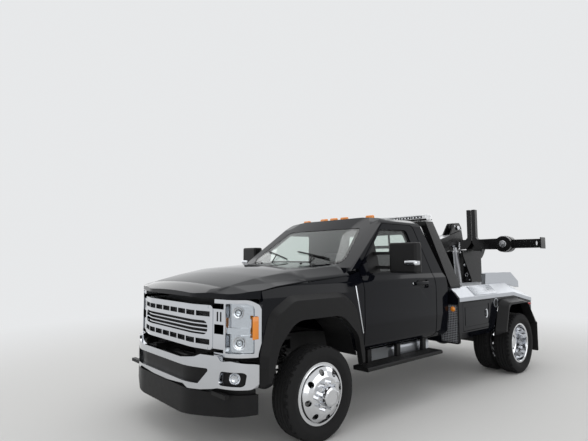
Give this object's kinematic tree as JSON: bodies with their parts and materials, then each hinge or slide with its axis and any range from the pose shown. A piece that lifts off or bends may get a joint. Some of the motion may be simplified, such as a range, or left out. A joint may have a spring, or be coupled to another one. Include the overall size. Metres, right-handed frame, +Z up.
{
  "type": "tow truck",
  "caption": "Light recovery truck with a two-door cab, dual rear wheels, a tool-box body, a hydraulic recovery boom and a folding wheel lift with swinging claws.",
  "frame": {"origin": "on the ground, under the middle of the bounding box", "axes": "+X to the truck's left, +Y to its rear, +Z up"},
  "size_m": [2.8672, 5.88, 2.3999],
  "materials": {
    "body_black": "gloss",
    "chassis_black": "satin",
    "chrome": "polished",
    "polished_alloy": "polished",
    "bright_panel": "brushed",
    "recovery_black": "semi-gloss",
    "silver_paint": "gloss",
    "black_plastic": "matte",
    "interior_plastic": "matte",
    "seat_cover": "woven",
    "window_glass": "clear",
    "lamp_lens": "clear",
    "tail_lens": "gloss",
    "lightbar_lens": "gloss",
    "tyre": "matte",
    "rubber": "matte",
    "cast_parts": "rough",
    "bare_steel": "brushed",
    "amber_lens": "gloss"
  },
  "bodies": {
    "truck": {"chassis_frame": "chassis_black", "driveline": "cast_parts", "front_axle": "cast_parts", "rear_axle": "cast_parts", "springs": "chassis_black", "fuel_tank": "polished_alloy", "exhaust": "bare_steel", "running_boards": "black_plastic", "cab_shell": "body_black", "roof_lamps": "amber_lens", "cab_glass": "window_glass", "dashboard": "interior_plastic", "seat": "seat_cover", "front_fenders": "body_black", "wheel_liners": "black_plastic", "wheel_flares": "black_plastic", "grille": "chrome", "headlamps": "lamp_lens", "front_bumper": "chrome", "front_valance": "black_plastic", "radiator_support": "black_plastic", "side_boxes": "body_black", "fuel_filler": "bright_panel", "top_rails": "bright_panel", "deck": "recovery_black", "mud_flaps": "rubber", "tail_lamps": "tail_lens", "pylon": "recovery_black", "light_bar": "lightbar_lens", "boom_mast": "recovery_black", "winch": "recovery_black", "cylinder_foot": "recovery_black", "tower": "recovery_black"},
    "hood": {"hood": "body_black"},
    "boom": {"boom": "recovery_black"},
    "boom_cylinder": {"boom_cylinder": "silver_paint"},
    "boom_rod": {"boom_rod": "chrome"},
    "stinger_outer": {"stinger_outer": "recovery_black"},
    "stinger_inner": {"stinger_inner": "recovery_black"},
    "crossbar": {"crossbar": "recovery_black"},
    "left_door": {"left_door": "body_black", "left_door_glass": "window_glass", "left_mirror": "black_plastic"},
    "left_toolbox_door": {"left_toolbox_door": "body_black"},
    "left_claw": {"left_claw": "recovery_black"},
    "left_knuckle": {"left_knuckle": "cast_parts"},
    "front_left_wheel": {"front_left_tyre": "tyre", "front_left_wheel": "polished_alloy"},
    "rear_left_wheels": {"rear_left_tyres": "tyre", "rear_left_wheels": "polished_alloy"},
    "right_door": {"right_door": "body_black", "right_door_glass": "window_glass", "right_mirror": "black_plastic"},
    "right_toolbox_door": {"right_toolbox_door": "body_black"},
    "right_claw": {"right_claw": "recovery_black"},
    "right_knuckle": {"right_knuckle": "cast_parts"},
    "front_right_wheel": {"front_right_tyre": "tyre", "front_right_wheel": "polished_alloy"},
    "rear_right_wheels": {"rear_right_tyres": "tyre", "rear_right_wheels": "polished_alloy"}
  },
  "joints": [
    {"name": "hood_tilt", "type": "hinge", "parent": "truck", "child": "hood", "pos_m": [0, -1.486, 1.502], "axis": [-1, 0, 0], "range_deg": [0, 50]},
    {"name": "boom_raise", "type": "hinge", "parent": "truck", "child": "boom", "pos_m": [0, 0.89, 1.59], "axis": [1, 0, 0], "range_deg": [0, 20]},
    {"name": "cylinder_swing", "type": "hinge", "parent": "truck", "child": "boom_cylinder", "pos_m": [0, 2.29, 1.07], "axis": [1, 0, 0], "range_deg": [-1, 4.7]},
    {"name": "rod_slide", "type": "slide", "parent": "boom_cylinder", "child": "boom_rod", "axis": [0, -0.1616, 0.9869], "range_m": [0, 0.458]},
    {"name": "stinger_fold", "type": "hinge", "parent": "truck", "child": "stinger_outer", "pos_m": [0, 2.64, 0.62], "axis": [-1, 0, 0], "range_deg": [0, 100]},
    {"name": "stinger_extend", "type": "slide", "parent": "stinger_outer", "child": "stinger_inner", "axis": [0, 0, 1], "range_m": [0, 0.45]},
    {"name": "crossbar_swivel", "type": "hinge", "parent": "stinger_inner", "child": "crossbar", "pos_m": [0, 2.825, 1.62], "axis": [0, 1, 0], "range_deg": [-20, 20]},
    {"name": "left_door_swing", "type": "hinge", "parent": "truck", "child": "left_door", "pos_m": [1.005, -1.318, 1], "axis": [0, 0, -1], "range_deg": [0, 65]},
    {"name": "left_toolbox_door_swing", "type": "hinge", "parent": "truck", "child": "left_toolbox_door", "pos_m": [1.1, 0.355, 0.85], "axis": [0, 0, -1], "range_deg": [0, 95]},
    {"name": "left_claw_swing", "type": "hinge", "parent": "crossbar", "child": "left_claw", "pos_m": [0.54, 2.742, 1.79], "axis": [0, 1, 0], "range_deg": [0, 90]},
    {"name": "left_steer", "type": "hinge", "parent": "truck", "child": "left_knuckle", "pos_m": [0.86, -1.96, 0.4], "axis": [0, 0, 1], "range_deg": [-38, 38]},
    {"name": "front_left_spin", "type": "hinge", "parent": "left_knuckle", "child": "front_left_wheel", "pos_m": [0.95, -1.96, 0.4], "axis": [1, 0, 0], "continuous": true},
    {"name": "rear_left_spin", "type": "hinge", "parent": "truck", "child": "rear_left_wheels", "pos_m": [0.94, 1.73, 0.4], "axis": [1, 0, 0], "continuous": true},
    {"name": "right_door_swing", "type": "hinge", "parent": "truck", "child": "right_door", "pos_m": [-1.005, -1.318, 1], "axis": [0, 0, 1], "range_deg": [0, 65]},
    {"name": "right_toolbox_door_swing", "type": "hinge", "parent": "truck", "child": "right_toolbox_door", "pos_m": [-1.1, 0.355, 0.85], "axis": [0, 0, 1], "range_deg": [0, 95]},
    {"name": "right_claw_swing", "type": "hinge", "parent": "crossbar", "child": "right_claw", "pos_m": [-0.54, 2.742, 1.79], "axis": [0, -1, 0], "range_deg": [0, 90]},
    {"name": "right_steer", "type": "hinge", "parent": "truck", "child": "right_knuckle", "pos_m": [-0.86, -1.96, 0.4], "axis": [0, 0, 1], "range_deg": [-38, 38]},
    {"name": "front_right_spin", "type": "hinge", "parent": "right_knuckle", "child": "front_right_wheel", "pos_m": [-0.95, -1.96, 0.4], "axis": [1, 0, 0], "continuous": true},
    {"name": "rear_right_spin", "type": "hinge", "parent": "truck", "child": "rear_right_wheels", "pos_m": [-0.94, 1.73, 0.4], "axis": [1, 0, 0], "continuous": true}
  ],
  "couplings": [
    {"joint": "right_steer", "follows": "left_steer", "ratio": 1},
    {"joint": "cylinder_swing", "follows": "boom_raise", "ratio": 0.13712},
    {"joint": "rod_slide", "follows": "boom_raise", "m_per_rad": 1.2833}
  ]
}
